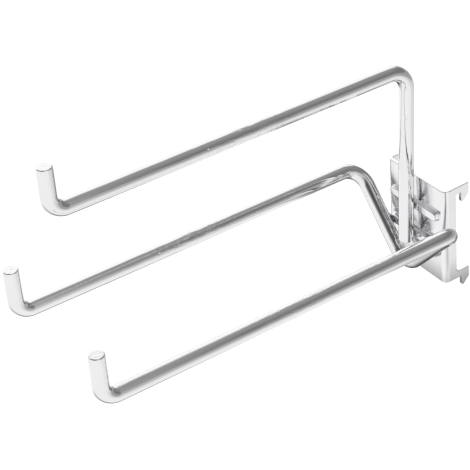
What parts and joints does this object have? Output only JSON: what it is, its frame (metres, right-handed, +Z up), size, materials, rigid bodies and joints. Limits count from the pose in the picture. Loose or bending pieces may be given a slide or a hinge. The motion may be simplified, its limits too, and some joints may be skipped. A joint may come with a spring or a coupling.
{
  "type": "pliers holder",
  "caption": "Bright plated wire holder for pliers: a folded sheet bracket hooks into a slotted upright and carries an upper arm and spread lower arms with upturned tips.",
  "frame": {"origin": "hanging point: midway between the flanges, on the face of the upright that they lean against, level with the edges that the upper hooks rest on", "axes": "+X to the right seen from the front, +Y into the upright, +Z up; the arms point along -Y and rise by 2.1 degrees"},
  "size_m": [0.0824, 0.2164, 0.1498],
  "materials": {
    "plated_sheet": "bright plated sheet, slightly satin",
    "plated_wire": "bright plated drawn wire"
  },
  "bodies": {
    "root": {"back_bracket": "plated_sheet", "upper_arm": "plated_wire", "lower_arms": "plated_wire"}
  },
  "joints": []
}
